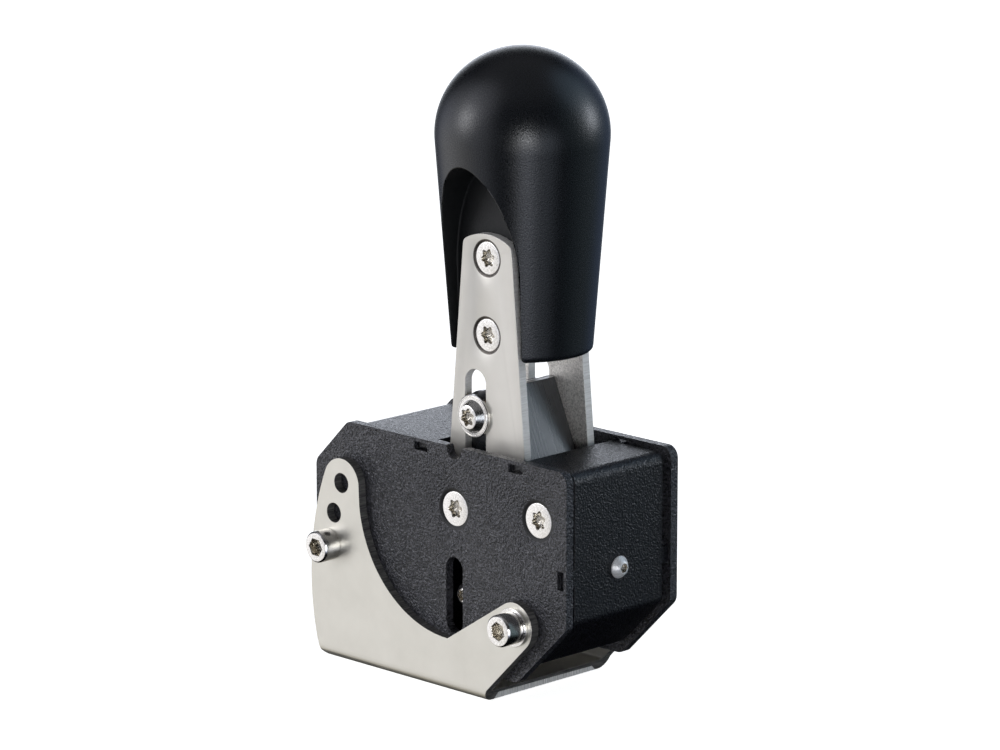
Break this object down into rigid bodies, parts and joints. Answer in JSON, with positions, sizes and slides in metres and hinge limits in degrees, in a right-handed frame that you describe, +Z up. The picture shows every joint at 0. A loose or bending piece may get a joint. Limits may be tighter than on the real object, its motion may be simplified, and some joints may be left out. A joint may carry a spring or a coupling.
{
  "type": "sim racing gear shifter",
  "caption": "Sim racing gear shifter: a plate box in a tilting bracket, with a self-centring two-plate lever whose height is clamped and a large handle.",
  "frame": {"origin": "middle of the underside of the bracket floor plane, midway between the ends of the box", "axes": "+Z up along the lever, +X along the box towards its pivot end, +Y across the box"},
  "size_m": [0.1106, 0.0686, 0.1979],
  "materials": {
    "brushed_stainless": "brushed stainless sheet",
    "blasted_stainless": "bead blasted stainless sheet",
    "powder_coat": "fine textured black powder coat",
    "textured_coat": "textured black powder coat",
    "gloss_coat": "semi-gloss black coat",
    "handle_plastic": "satin black moulded plastic",
    "screw_steel": "stainless screw steel",
    "black_screw": "black oxide steel",
    "turned_steel": "turned, zinc plated steel",
    "bronze": "sintered bronze and brass",
    "nickel_magnet": "nickel plate",
    "anodised_aluminium": "dark anodised aluminium",
    "buffer_rubber": "black rubber",
    "board_laminate": "glass laminate circuit board"
  },
  "bodies": {
    "box": {"base_bracket": "brushed_stainless", "side_plate_near": "powder_coat", "side_plate_far": "powder_coat", "wrap_cover": "textured_coat", "cover_spacer": "turned_steel", "tilt_pivot_spacer": "turned_steel", "tilt_lock_nuts": "turned_steel", "lever_axle": "turned_steel", "plate_screws": "screw_steel", "tilt_pivot_screws": "screw_steel", "tilt_pivot_washers": "screw_steel", "tilt_lock_screws": "screw_steel", "guide_bracket": "textured_coat", "guide_bracket_screws": "black_screw", "stop_posts": "turned_steel", "stop_buffers": "buffer_rubber", "stop_screws": "screw_steel", "sensor_board": "board_laminate", "board_spacers": "turned_steel", "board_screws": "screw_steel", "data_port": "nickel_magnet"},
    "rocker": {"rocker": "gloss_coat", "detent_arm": "turned_steel", "arm_screws": "screw_steel", "pivot_bushes": "bronze", "clamp_rod": "turned_steel", "guide_bushes": "bronze", "height_clamp_screws": "screw_steel", "sensor_magnet": "nickel_magnet"},
    "lever": {"lever_plate_near": "blasted_stainless", "lever_plate_far": "blasted_stainless", "handle": "handle_plastic", "handle_screws": "screw_steel", "handle_inserts": "bronze"},
    "carriage": {"magnet_carriage": "anodised_aluminium", "carriage_magnets": "nickel_magnet", "carriage_screws": "screw_steel"}
  },
  "joints": [
    {"name": "lever_swing", "type": "hinge", "parent": "box", "child": "rocker", "pos_m": [0.007, 0, 0.0575], "axis": [0, 1, 0], "range_deg": [-7.5, 7.5], "stiffness_Nm_per_rad": 15},
    {"name": "lever_height", "type": "slide", "parent": "rocker", "child": "lever", "axis": [0, 0, 1], "range_m": [-0.009, 0.003]},
    {"name": "force_adjust", "type": "slide", "parent": "box", "child": "carriage", "axis": [0, 0, 1], "range_m": [-0.007, 0.007]}
  ]
}
